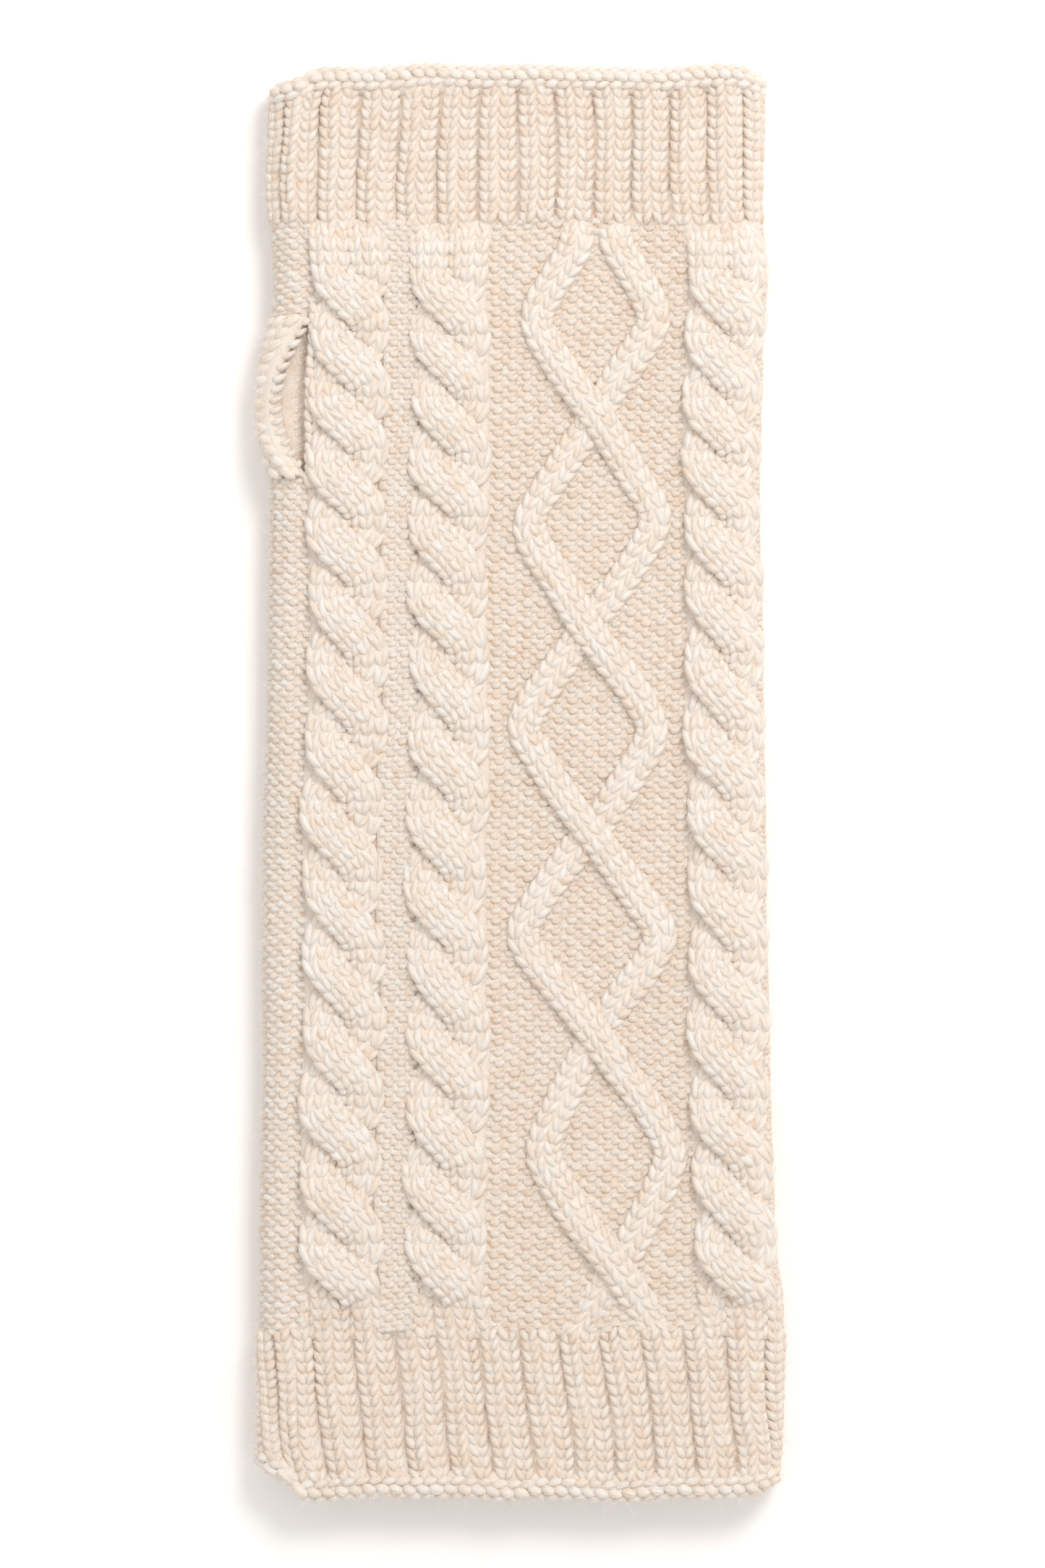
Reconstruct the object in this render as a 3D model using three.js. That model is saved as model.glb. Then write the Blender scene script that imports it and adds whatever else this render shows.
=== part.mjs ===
// A cable-knit fingerless glove, lying flat: a knitted tube with a ribbed cuff at each end, a thumb
// opening in the left side seam, and three rope cables and a column of diamonds on its front.
//
// Frame: millimetres, +Z up. The glove rests on z = 0 with its front upwards, +Y points to the finger
// end, +X is across the glove, and the origin is under its middle.
//
// Every zone of the tube is a band of one cross-section. A place on it is given by s, the distance
// along the outside of the fabric from the middle of the front, positive towards +X, and by an offset
// out of that surface.

import * as THREE from 'three';

// Driving dimensions
const LENGTH = 300;
const WIDTH = 105; // at mid length
const FABRIC = 3.2; // thickness of one layer of knitting
const INNER_GAP = 5.4; // between the two layers
const GAP = 0.3; // between neighbouring solids

// Lengthwise places
const FINGER_END = LENGTH / 2;
const FOREARM_END = -LENGTH / 2;
const EDGE_ROLL = 4.5; // length of the bind-off and cast-on edges
const FINGER_RIB = 32; // length of the cuff, edge included
const FOREARM_RIB = 35;
const FINGER_FOLD_Y = FINGER_END - FINGER_RIB;
const FOREARM_FOLD_Y = FOREARM_END + FOREARM_RIB;
const THUMB_TOP = 98;
const THUMB_BOTTOM = 64;
const LIP_BULGE = 2.6; // how far the palm's lip stands out beyond the side
const LIP_WIDTH = 1.6; // of the lip along the front panel
const LIP_HEIGHT = 0.5; // how far that lip stands above the fabric

// The flattened tube: two flat layers joined by a half circle at each side
const FOLD_RADIUS = FABRIC + INNER_GAP / 2;
const FLAT = WIDTH / 2 - FOLD_RADIUS; // half the width of the flat layers
const ARC = Math.PI * FOLD_RADIUS;
const SEAM_S = -44.3; // the seam runs down the front, near its left edge
const SEAM_WIDTH = 1.2;
const SEAM_SUNK = 0.6; // how far the sewing yarn lies below either face
const PALM_EDGE = FLAT + ARC - GAP / 2; // s where the side folds meet the palm panel
const LIP_TOP_S = FLAT + ARC * 0.36; // s where the palm's lip ends, round the left side

// Ribs
const RIB_PITCH = 8.2;
const RIB_DEPTH = 1.1;
const FLARE = 0.055; // how much wider the forearm end is than the finger end, as a share of the width

// Rope cables: s of the middle, and width
const ROPES = {
  rope_cable_left: { middle: -35.4, width: 15.2 },
  rope_cable_centre: { middle: -14.8, width: 16.6 },
  rope_cable_right: { middle: 44.4, width: 17.6 },
};
const ROPE_HEIGHT = 3.6;
const ROPE_EDGE = 1.0; // height at a cable's sides
const ROPE_TWIST = 15.2; // length of one lobe
const ROPE_SLANT = 0.45; // how far a lobe runs along the glove for each millimetre across
const ROPE_DIP = 0.45; // share of the height that is lost between lobes

// Diamonds: two strands that cross six times
const DIAMOND_MIDDLE = 15.2;
const DIAMOND_HALF = 13;
const DIAMOND_TOP = 116; // y of the first crossing
const DIAMOND_PITCH = 43.4;
const STRAND_WIDTH = 6.4;
const STRAND_HEIGHT = 1.7;

const CREAM = '#eedfce';
const CREAM_SHADE = '#e3d0bb';

/** Share by which the tube is widened at a place along its length. */
function flare(y) {
  return 1 - FLARE * (y / LENGTH);
}

/** Point on the cross-section of the tube at y, offset millimetres out of the fabric's outer face. */
function onTube(s, offset, y) {
  const side = Math.sign(s) || 1;
  const along = Math.abs(s);
  const radius = FOLD_RADIUS + offset;
  let x = along;
  let z = 2 * FOLD_RADIUS + offset;
  if (along > FLAT + ARC) {
    x = FLAT - (along - FLAT - ARC);
    z = -offset;
  } else if (along > FLAT) {
    const angle = (along - FLAT) / FOLD_RADIUS;
    x = FLAT + radius * Math.sin(angle);
    z = FOLD_RADIUS + radius * Math.cos(angle);
  }
  return new THREE.Vector3(side * x * flare(y), y, z);
}

/** Triangles that close a section, made as a strip that zigzags between its two long sides. */
function cap(count) {
  const triangles = [];
  for (let i = 0; i < count - 2 - i; i++) {
    triangles.push([i, i + 1, count - 1 - i]);
    if (i + 1 < count - 2 - i) {
      triangles.push([i + 1, count - 2 - i, count - 1 - i]);
    }
  }
  return triangles;
}

/** Closed body through a row of sections that have the same number of points. */
function loft(sections, closed = false) {
  const count = sections[0].length;
  const positions = sections.flat().flatMap((p) => [p.x, p.y, p.z]);
  const triangles = [];
  const spans = closed ? sections.length : sections.length - 1;
  for (let i = 0; i < spans; i++) {
    const next = (i + 1) % sections.length;
    for (let j = 0; j < count; j++) {
      const a = i * count + j;
      const b = i * count + ((j + 1) % count);
      const c = next * count + ((j + 1) % count);
      const d = next * count + j;
      triangles.push(a, b, c, a, c, d);
    }
  }
  if (!closed) {
    const last = (sections.length - 1) * count;
    for (const [a, b, c] of cap(count)) {
      triangles.push(a, c, b);
      triangles.push(last + a, last + b, last + c);
    }
  }
  const geometry = new THREE.BufferGeometry();
  geometry.setAttribute('position', new THREE.Float32BufferAttribute(positions, 3));
  geometry.setIndex(triangles);
  if (volume(geometry) < 0) {
    geometry.index.array.reverse();
  }
  geometry.computeVertexNormals();
  return geometry;
}

/** Signed volume of an indexed closed mesh: negative where its faces point inwards. */
function volume(geometry) {
  const { position } = geometry.attributes;
  const point = (i) => new THREE.Vector3().fromBufferAttribute(position, geometry.index.getX(i));
  let total = 0;
  for (let i = 0; i < geometry.index.count; i += 3) {
    total += point(i).dot(point(i + 1).cross(point(i + 2))) / 6;
  }
  return total;
}

/** Evenly spaced values from a to b, both included. */
function spread(a, b, steps) {
  return Array.from({ length: steps + 1 }, (_, i) => a + ((b - a) * i) / steps);
}

/** Distances along the fabric from a to b, close together where the tube turns. */
function alongTube(a, b, step) {
  const straight = spread(a, b, Math.max(1, Math.ceil(Math.abs(b - a) / step)));
  const turns = [FLAT, FLAT + ARC].flatMap((s) => [s, -s]).filter((s) => s > a && s < b);
  return [...straight, ...turns].sort((p, q) => p - q).filter((s, i, all) => i === 0 || s - all[i - 1] > 0.2);
}

/** A strip of the tube's wall, whose outer and inner offsets may change with s and y. */
function band(name, from, to, yFrom, yTo, options = {}) {
  const { outer = () => 0, inner = () => -FABRIC, step = 3, rows = 4, colour = CREAM } = options;
  const places = alongTube(from, to, step);
  const sections = spread(yFrom, yTo, rows).map((y) => [
    ...places.map((s) => onTube(s, outer(s, y), y)),
    ...places.map((s) => onTube(s, inner(s, y), y)).reverse(),
  ]);
  return piece(name, loft(sections), colour);
}

/** A named mesh of knitted wool. */
function piece(name, geometry, colour = CREAM) {
  const material = new THREE.MeshStandardMaterial({ color: colour, roughness: 0.95, metalness: 0 });
  const mesh = new THREE.Mesh(geometry, material);
  mesh.name = name;
  return mesh;
}

/** Raised ribs and sunk grooves of a cuff, as an offset. */
function ribbing(s) {
  return -RIB_DEPTH * Math.pow(Math.cos((Math.PI * (s - SEAM_S)) / RIB_PITCH), 4);
}

/** The four sides of a ribbed cuff and the seam yarn that closes it. */
function cuff(prefix, yFrom, yTo) {
  const ribbed = { outer: ribbing, step: RIB_PITCH / 4, rows: 2 };
  const seamLeft = SEAM_S - SEAM_WIDTH / 2 - GAP;
  const seamRight = SEAM_S + SEAM_WIDTH / 2 + GAP;
  const palmFrom = PALM_EDGE + GAP;
  return [
    band(`${prefix}_front`, seamRight, FLAT - GAP, yFrom, yTo, ribbed),
    band(`${prefix}_right_fold`, FLAT, PALM_EDGE, yFrom, yTo, { step: 2, rows: 3 }),
    band(`${prefix}_left_fold`, -PALM_EDGE, seamLeft, yFrom, yTo, { step: 2, rows: 3 }),
    palm(`${prefix}_palm`, palmFrom, yFrom, yTo),
    seam(`${prefix}_seam`, yFrom, yTo),
  ];
}

/** A flat stretch of the layer that lies underneath. */
function palm(name, from, yFrom, yTo) {
  const halfWidth = 2 * FLAT + ARC - from;
  const sections = spread(yFrom, yTo, 4).map((y) => [
    new THREE.Vector3(-halfWidth * flare(y), y, 0),
    new THREE.Vector3(halfWidth * flare(y), y, 0),
    new THREE.Vector3(halfWidth * flare(y), y, FABRIC),
    new THREE.Vector3(-halfWidth * flare(y), y, FABRIC),
  ]);
  return piece(name, loft(sections), CREAM_SHADE);
}

/** Sewing yarn that closes the tube, sunk between the front and the left fold. */
function seam(name, yFrom, yTo) {
  return band(name, SEAM_S - SEAM_WIDTH / 2, SEAM_S + SEAM_WIDTH / 2, yFrom, yTo, {
    outer: () => -SEAM_SUNK,
    inner: () => SEAM_SUNK - FABRIC,
    step: SEAM_WIDTH,
    rows: 2,
    colour: CREAM_SHADE,
  });
}

/** The roll of edge stitches round one end of the tube. */
function edgeRing(name, yFrom, yTo) {
  const around = 4 * FLAT + 2 * ARC;
  const stations = alongTube(-around / 2, around / 2, 4).slice(0, -1);
  const middle = (yFrom + yTo) / 2;
  const half = (yTo - yFrom) / 2;
  const corner = 0.6; // share of the section that stays square
  const sections = stations.map((s) => [
    onTube(s, 0, middle - half * corner),
    onTube(s, 0, middle + half * corner),
    onTube(s, -FABRIC * 0.3, middle + half),
    onTube(s, -FABRIC * 0.7, middle + half),
    onTube(s, -FABRIC, middle + half * corner),
    onTube(s, -FABRIC, middle - half * corner),
    onTube(s, -FABRIC * 0.7, middle - half),
    onTube(s, -FABRIC * 0.3, middle - half),
  ]);
  return piece(name, loft(sections, true));
}

/** A two-strand twist: a raised band whose top is crossed by slanting lobes. */
function ropeCable(name, { middle, width }) {
  const yFrom = FOREARM_FOLD_Y + 2;
  const yTo = FINGER_FOLD_Y - 1;
  const rows = Math.round((yTo - yFrom) / (ROPE_TWIST / 3));
  const rope = (s, y) => {
    const across = (2 * (s - middle)) / width;
    const crown = Math.sqrt(Math.max(0, 1 - across * across));
    const lobe = Math.abs(Math.cos((Math.PI * (y - yTo + ROPE_SLANT * width * across)) / ROPE_TWIST));
    return GAP + ROPE_EDGE + (ROPE_HEIGHT - ROPE_EDGE) * crown * (1 - ROPE_DIP + ROPE_DIP * lobe);
  };
  const options = { outer: rope, inner: () => GAP, step: width / 4, rows };
  return band(name, middle - width / 2, middle + width / 2, yFrom, yTo, options);
}

/** One of the two strands that weave the column of diamonds; side is +1 or -1. */
function diamondStrand(name, side) {
  const half = STRAND_WIDTH / 2;
  const shoulder = 0.6 * STRAND_HEIGHT;
  const sections = spread(FOREARM_FOLD_Y + 2, DIAMOND_TOP, 60).map((y) => {
    const turn = (Math.PI * (DIAMOND_TOP - y)) / DIAMOND_PITCH;
    const middle = DIAMOND_MIDDLE + side * DIAMOND_HALF * Math.sin(turn);
    const passesOver = side * Math.cos(turn) > 0;
    const lift = passesOver ? (STRAND_HEIGHT + GAP) * Math.cos(turn) ** 4 : 0;
    const base = GAP + lift;
    return [
      onTube(middle - half, base, y),
      onTube(middle + half, base, y),
      onTube(middle + half, base + shoulder, y),
      onTube(middle, base + STRAND_HEIGHT, y),
      onTube(middle - half, base + shoulder, y),
    ];
  });
  return piece(name, loft(sections));
}

/** How far the lips of the thumb opening are pushed open at y: 1 in the middle, 0 at both ends. */
function openness(y) {
  return Math.sin((Math.PI * (y - THUMB_BOTTOM)) / (THUMB_TOP - THUMB_BOTTOM));
}

/** The lip on the palm's side, which bulges outwards, and the lip along the front panel. */
function thumbEdges() {
  const bulge = (s, y) => {
    const upTheSide = Math.min(1, Math.max(0, (2 * (s + FLAT + ARC)) / ARC));
    return LIP_BULGE * openness(y) * upTheSide ** 2;
  };
  const palmLip = band('thumb_edge_palm', -PALM_EDGE, -LIP_TOP_S, THUMB_BOTTOM + GAP, THUMB_TOP - GAP, {
    outer: bulge,
    inner: (s, y) => bulge(s, y) - FABRIC,
    step: 2,
    rows: 12,
  });
  const right = SEAM_S + SEAM_WIDTH / 2;
  const frontLip = band('thumb_edge_front', right - LIP_WIDTH, right, THUMB_BOTTOM + GAP, THUMB_TOP - GAP, {
    outer: () => LIP_HEIGHT,
    step: 1,
    rows: 4,
  });
  return [palmLip, frontLip];
}

/** The tube between the cuffs, without its cables. */
function handTube() {
  const yFrom = FOREARM_FOLD_Y + GAP;
  const yTo = FINGER_FOLD_Y - GAP;
  const seamLeft = SEAM_S - SEAM_WIDTH / 2 - GAP;
  const seamRight = SEAM_S + SEAM_WIDTH / 2 + GAP;
  const fold = { step: 2, rows: 4 };
  return [
    band('front_panel', seamRight, FLAT - GAP, yFrom, yTo, { step: 12, rows: 8 }),
    palm('palm_panel', PALM_EDGE + GAP, yFrom, yTo),
    band('right_fold', FLAT, PALM_EDGE, yFrom, yTo, fold),
    band('left_fold_upper', -PALM_EDGE, seamLeft, THUMB_TOP, yTo, fold),
    band('left_fold_lower', -PALM_EDGE, seamLeft, yFrom, THUMB_BOTTOM, fold),
    seam('side_seam_upper', THUMB_TOP, yTo),
    seam('side_seam_lower', yFrom, THUMB_BOTTOM),
    ...thumbEdges(),
  ];
}

const glove = new THREE.Group();
glove.add(...handTube());
for (const [name, place] of Object.entries(ROPES)) {
  glove.add(ropeCable(name, place));
}
glove.add(diamondStrand('diamond_strand_left', -1), diamondStrand('diamond_strand_right', 1));
glove.add(...cuff('finger_rib', FINGER_FOLD_Y, FINGER_END - EDGE_ROLL - GAP));
glove.add(...cuff('forearm_rib', FOREARM_END + EDGE_ROLL + GAP, FOREARM_FOLD_Y));
glove.add(edgeRing('bind_off_edge', FINGER_END - EDGE_ROLL, FINGER_END));
glove.add(edgeRing('cast_on_edge', FOREARM_END, FOREARM_END + EDGE_ROLL));

export default glove;
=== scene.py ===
"""The looks of a cable-knit fingerless glove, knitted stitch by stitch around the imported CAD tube.

The glove lies flat with its cabled front upwards and its finger end towards +Y. A place on the fabric is
given by s, the distance along the outside of the tube from the middle of the front (positive towards +X),
by y along the glove, and by a height out of the fabric. Every stitch is two grains: short tapered lengths
of yarn along a path.
"""

import math

import bpy
import numpy as np
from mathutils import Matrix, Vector


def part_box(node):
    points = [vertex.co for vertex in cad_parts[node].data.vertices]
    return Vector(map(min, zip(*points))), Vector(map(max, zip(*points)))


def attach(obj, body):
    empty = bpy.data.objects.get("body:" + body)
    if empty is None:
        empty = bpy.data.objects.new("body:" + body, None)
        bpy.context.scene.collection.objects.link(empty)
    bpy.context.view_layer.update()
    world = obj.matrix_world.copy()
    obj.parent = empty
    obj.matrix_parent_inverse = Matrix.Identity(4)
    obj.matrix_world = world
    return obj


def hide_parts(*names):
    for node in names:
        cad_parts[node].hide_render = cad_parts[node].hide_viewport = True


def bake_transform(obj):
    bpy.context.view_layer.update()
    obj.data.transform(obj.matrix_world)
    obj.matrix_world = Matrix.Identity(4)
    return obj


MM = 0.001
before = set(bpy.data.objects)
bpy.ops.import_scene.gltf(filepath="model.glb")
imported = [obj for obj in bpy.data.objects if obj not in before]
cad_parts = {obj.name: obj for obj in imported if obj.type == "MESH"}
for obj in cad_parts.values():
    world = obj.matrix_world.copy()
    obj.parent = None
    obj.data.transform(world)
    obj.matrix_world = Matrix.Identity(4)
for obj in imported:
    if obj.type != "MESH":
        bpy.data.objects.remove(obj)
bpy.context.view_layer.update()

# ---------------------------------------------------------------- places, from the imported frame
FINGER_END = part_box("bind_off_edge")[1].y
FOREARM_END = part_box("cast_on_edge")[0].y
FINGER_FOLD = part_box("finger_rib_front")[0].y
FOREARM_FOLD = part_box("forearm_rib_front")[1].y
THUMB_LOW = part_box("thumb_edge_palm")[0].y
THUMB_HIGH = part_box("thumb_edge_palm")[1].y

FABRIC_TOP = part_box("front_panel")[1].z
FOLD_RADIUS = FABRIC_TOP / 2
HALF_WIDTH = 0.0525
FLAT = HALF_WIDTH - FOLD_RADIUS  # half the width of each flat layer
ARC = math.pi * FOLD_RADIUS  # the way round one side
AROUND = 4 * FLAT + 2 * ARC
SEAM = -44.4 * MM
SIDE_KNIT = 57 * MM  # s where the purl side stitches give way to the plain palm

# ---------------------------------------------------------------- the knitting
COLUMN = 3.15 * MM  # width of one stitch
COURSE = 2.24 * MM  # height of one row
LONG_COURSE = 1.25 * COURSE  # height of one row in the cables
YARN = 0.84 * MM  # radius of the yarn
GROUND = -1.0 * MM  # height of the middle line of the ground's yarn
FABRIC = -0.62 * MM  # height of the matted fabric behind it
WRONG_SIDE = -3.1 * MM  # height of the fabric's inner face

# Half widths of the tube at places along it, in millimetres: (y, left, right)
SIDES = (
    (150, 50.6, 50.2),
    (140, 52.4, 51.0),
    (124, 52.8, 50.4),
    (106, 52.0, 51.9),
    (92, 52.4, 50.9),
    (60, 52.7, 50.2),
    (25, 53.2, 51.0),
    (-20, 54.3, 51.6),
    (-60, 54.2, 52.4),
    (-92, 54.9, 53.4),
    (-112, 54.8, 55.4),
    (-138, 55.2, 54.4),
    (-150, 53.8, 53.0),
)

# How far each end of the tube draws back, in millimetres: at the seam, further round the left side,
# round the right side, and under the middle of the palm
FINGER_DRAW = (1.8, 1.4, 1.8, 2.5)
FOREARM_DRAW = (3.6, 2.6, 2.2, 4.2)

SLIT_WIDTH = 6.5 * MM  # of the thumb opening at its widest
LIP = 0.32  # how far the palm's lip rises for each millimetre that the opening is wide
SOFT_FLOOR = 1.5 * MM  # below this height the fabric is pressed flat by its own weight

MATTED_SHADE_TINT = 0.35  # tint of the matted fibre between the stitches, below the stitches' average: painted shade behind the yarn, a little darker and warmer
FIBRES_PER_METRE = np.array([900.0, 500.0, 900.0])  # how fine the matted fibre's streaks are

random = np.random.default_rng(7)


def smooth_steps(x, xs, ys):
    """Values through the points (xs, ys), easing from each to the next."""
    xs, ys = np.asarray(xs, float), np.asarray(ys, float)
    order = np.argsort(xs)
    xs, ys = xs[order], ys[order]
    i = np.clip(np.searchsorted(xs, x) - 1, 0, len(xs) - 2)
    t = np.clip((x - xs[i]) / (xs[i + 1] - xs[i]), 0, 1)
    t = t * t * (3 - 2 * t)
    return ys[i] * (1 - t) + ys[i + 1] * t


def ease(x, low, high):
    """0 below low, 1 above high, and a soft step between."""
    t = np.clip((x - low) / (high - low), 0, 1)
    return t * t * (3 - 2 * t)


def side_scale(side, y):
    """How much wider the tube is at y, on one side, than the plain half width."""
    places = [row[0] * MM for row in SIDES]
    left = smooth_steps(y, places, [row[1] * MM for row in SIDES])
    right = smooth_steps(y, places, [row[2] * MM for row in SIDES])
    return np.where(side < 0, left, right) / HALF_WIDTH


def wobble(s, y):
    """The unevenness of hand knitting, as a shift in s and in y."""
    shift_s = 0.35 * np.sin(y * 95 + s * 60 + 1.3) + 0.22 * np.sin(y * 210 - s * 130 + 0.4)
    shift_y = 0.40 * np.sin(s * 120 + y * 40 + 2.1) + 0.20 * np.sin(s * 310 + y * 95)
    return shift_s * MM, shift_y * MM


def uneven_ends(s, y):
    """How far the ends of the tube draw back at its sides, where the fabric turns and the seam pulls."""
    turn = (s + AROUND / 2) % AROUND - AROUND / 2
    left = ease(-turn, -SEAM - 0.5 * MM, -SEAM + 3.5 * MM)
    far_left = ease(-turn, FLAT, FLAT + 0.45 * ARC)
    far_right = ease(turn, FLAT, FLAT + 0.5 * ARC)
    palm = ease(np.abs(turn), FLAT + ARC, AROUND / 2)

    def drawn_back(at_seam, at_left, at_right, at_palm):
        sides = at_seam * left + at_left * far_left + at_right * far_right
        return sides * (1 - palm) + at_palm * palm

    finger = drawn_back(*FINGER_DRAW) * ease(y, FINGER_FOLD, FINGER_END)
    forearm = drawn_back(*FOREARM_DRAW) * ease(-y, -FOREARM_FOLD, -FOREARM_END)
    return (forearm - finger) * MM


def on_tube(s, y, height):
    """Points in space, and the fabric's outward normals there, for places on the tube."""
    s, y, height = np.broadcast_arrays(np.asarray(s, float), y, height)
    s = (s + AROUND / 2) % AROUND - AROUND / 2
    side = np.where(s < 0, -1.0, 1.0)
    along = np.abs(s)
    angle = np.clip((along - FLAT) / FOLD_RADIUS, 0, math.pi)
    front = along <= FLAT
    back = along >= FLAT + ARC
    radius = FOLD_RADIUS + height
    x = np.where(front, along, np.where(back, 2 * FLAT + ARC - along, FLAT + radius * np.sin(angle)))
    z = FOLD_RADIUS + radius * np.cos(angle)
    points = np.stack([side * x * side_scale(side, y), y, z], -1)
    normals = np.stack([side * np.sin(angle), np.zeros_like(s), np.cos(angle)], -1)
    return points, normals


def add_to_y(place, shift):
    """The same place in s, y and height, moved along the glove."""
    return place[0], place[1] + shift, place[2]


def slit_width(y):
    """How far the left edge stands away from the seam line: the eye of the thumb opening."""
    t = np.clip((y - THUMB_LOW) / (THUMB_HIGH - THUMB_LOW), 0, 1)
    return SLIT_WIDTH * np.sin(math.pi * t) ** 0.8


def beside_slit(s, y, height):
    """Moves places on the left side away from the thumb opening, and out over its lip."""
    near = ease(s, SEAM - 20 * MM, SEAM - 1 * MM)
    open_here = slit_width(y)
    return s - open_here * near, y, height + LIP * open_here * near


def settled(points):
    """The same points with the glove's underside pressed together so that it lies on the floor."""
    low = np.minimum(points[:, 2], SOFT_FLOOR)
    pressed = SOFT_FLOOR * np.exp((low - SOFT_FLOOR) / SOFT_FLOOR)
    return np.column_stack([points[:, :2], np.where(points[:, 2] < SOFT_FLOOR, pressed, points[:, 2])])


# ---------------------------------------------------------------- meshes
def unit(v):
    """Vectors of the same direction and of length 1."""
    return v / np.maximum(np.linalg.norm(v, axis=-1, keepdims=True), 1e-12)


def mesh_object(name, vertices, quads, attributes=None, smooth=True):
    """A mesh object from arrays of points and of four-sided faces."""
    mesh = bpy.data.meshes.new(name)
    mesh.vertices.add(len(vertices))
    mesh.vertices.foreach_set("co", vertices.astype(np.float32).ravel())
    mesh.loops.add(quads.size)
    mesh.loops.foreach_set("vertex_index", quads.astype(np.int32).ravel())
    mesh.polygons.add(len(quads))
    mesh.polygons.foreach_set("loop_start", np.arange(0, quads.size, 4, dtype=np.int32))
    mesh.polygons.foreach_set("use_smooth", np.full(len(quads), smooth))
    for key, values in (attributes or {}).items():
        kind, field = ("FLOAT_VECTOR", "vector") if values.ndim == 2 else ("FLOAT", "value")
        attribute = mesh.attributes.new(key, kind, "POINT")
        attribute.data.foreach_set(field, values.astype(np.float32).ravel())
    mesh.update(calc_edges=True)
    obj = bpy.data.objects.new(name, mesh)
    bpy.context.scene.collection.objects.link(obj)
    return obj


def slab(top, bottom):
    """The points and faces of a closed solid between two grids of points."""
    rows, columns = top.shape[:2]
    index = np.arange(rows * columns).reshape(rows, columns)
    other = index + rows * columns

    def faces(a, b, c, d):
        return np.stack([a.ravel(), b.ravel(), c.ravel(), d.ravel()], -1)

    quads = [
        faces(index[:-1, :-1], index[:-1, 1:], index[1:, 1:], index[1:, :-1]),
        faces(other[:-1, :-1], other[1:, :-1], other[1:, 1:], other[:-1, 1:]),
        faces(index[0, :-1], other[0, :-1], other[0, 1:], index[0, 1:]),
        faces(index[-1, :-1], index[-1, 1:], other[-1, 1:], other[-1, :-1]),
        faces(index[:-1, 0], index[1:, 0], other[1:, 0], other[:-1, 0]),
        faces(index[:-1, -1], other[:-1, -1], other[1:, -1], index[1:, -1]),
    ]
    vertices = np.concatenate([top.reshape(-1, 3), bottom.reshape(-1, 3)])
    quads = np.concatenate(quads)
    a, b, c, d = (vertices[quads[:, k]] for k in range(4))
    volume = np.sum(a * np.cross(b, c)) + np.sum(a * np.cross(c, d))
    return vertices, quads if volume > 0 else quads[:, ::-1]


GRAIN_END = 0.22  # radius of a grain's ends, as a share of its middle's


class Grains:
    """Lengths of yarn gathered for one piece: a path for each in s, y and height, and a radius."""

    def __init__(self):
        self.paths = []
        self.radii = []
        self.solids = []

    def add(self, s, y, height, radius):
        """Arrays of shape (grains, places along each); radius is one number, or one for each grain."""
        path = np.stack(np.broadcast_arrays(s, y, height), -1)
        self.paths.append(path)
        self.radii.append(np.broadcast_to(radius, path.shape[:1]).astype(float))

    def fill(self, s, y, top, bottom):
        """A solid of matted fibre behind the yarn, between two heights, over a grid of places."""
        s, y, top, bottom = np.broadcast_arrays(s, y, top, bottom)
        shift_s, shift_y = wobble(s, y)
        s, y = s + shift_s, y + shift_y + uneven_ends(s, y)
        self.solids.append(slab(on_tube(s, y, top)[0], on_tube(s, y, bottom)[0]))

    def build(self, name, sides=6, taper=0.62):
        """One mesh of all the grains, as tubes of that many sides, and of the solids behind them."""
        path = np.concatenate(self.paths)
        radius = np.concatenate(self.radii)
        count, rings = path.shape[:2]
        radius = radius * random.uniform(0.90, 1.10, count)
        path = path + random.normal(0, 0.05 * MM, (count, 1, 3)) + random.normal(0, 0.02 * MM, path.shape)
        shift_s, shift_y = wobble(path[..., 0], path[..., 1])
        shift_y = shift_y + uneven_ends(path[..., 0], path[..., 1])
        points, normals = on_tube(path[..., 0] + shift_s, path[..., 1] + shift_y, path[..., 2])
        tangents = unit(np.gradient(points, axis=1))
        across = unit(np.cross(tangents, normals))
        out = np.cross(across, tangents)
        t = np.linspace(-1, 1, rings)
        profile = np.maximum(1 - np.abs(t) ** 2.6, 0) ** taper
        profile[[0, -1]] = GRAIN_END
        around = np.arange(sides) * 2 * math.pi / sides
        ring = across[:, :, None] * np.cos(around)[:, None] + out[:, :, None] * np.sin(around)[:, None]
        size = radius[:, None] * profile
        vertices = points[:, :, None] + size[:, :, None, None] * ring
        index = np.arange(count * rings * sides).reshape(count, rings, sides)
        turned = np.roll(index, -1, axis=2)
        walls = np.stack([index[:, :-1], index[:, 1:], turned[:, 1:], turned[:, :-1]], -1).reshape(-1, 4)
        tint = np.repeat(random.uniform(0, 1, count), rings * sides)
        spun = np.stack(np.broadcast_arrays(
            np.cos(around), np.sin(around), 0.30 * np.linspace(-1, 1, rings)[:, None]), -1)
        fibre = (spun[None] + random.uniform(0, 50, (count, 1, 1, 3))).reshape(-1, 3)
        vertices = vertices.reshape(-1, 3)
        for more_vertices, more_quads in self.solids:
            walls = np.concatenate([walls, more_quads + len(vertices)])
            vertices = np.concatenate([vertices, more_vertices])
            # the matted solids get the lower tint: painted shade behind the stitches
            tint = np.concatenate([tint, np.full(len(more_vertices), MATTED_SHADE_TINT)])
            fibre = np.concatenate([fibre, more_vertices * FIBRES_PER_METRE])
        return mesh_object(name, settled(vertices), walls, {"tint": tint, "fibre": fibre})


RINGS = 6  # places along each grain
T = np.linspace(-1, 1, RINGS)


# One leg of a knit stitch, as shares of the stitch: how far it stands from the middle, leans, and reaches
LEG_AWAY = 0.245
LEG_LEAN = 0.205
LEG_REACH = 0.68

# One bump of a purl stitch, as shares of the stitch: how far it reaches, how high it arches, and from where
BUMP_REACH = 0.44
BUMP_ARCH = 0.42
BUMP_START = -0.13


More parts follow.
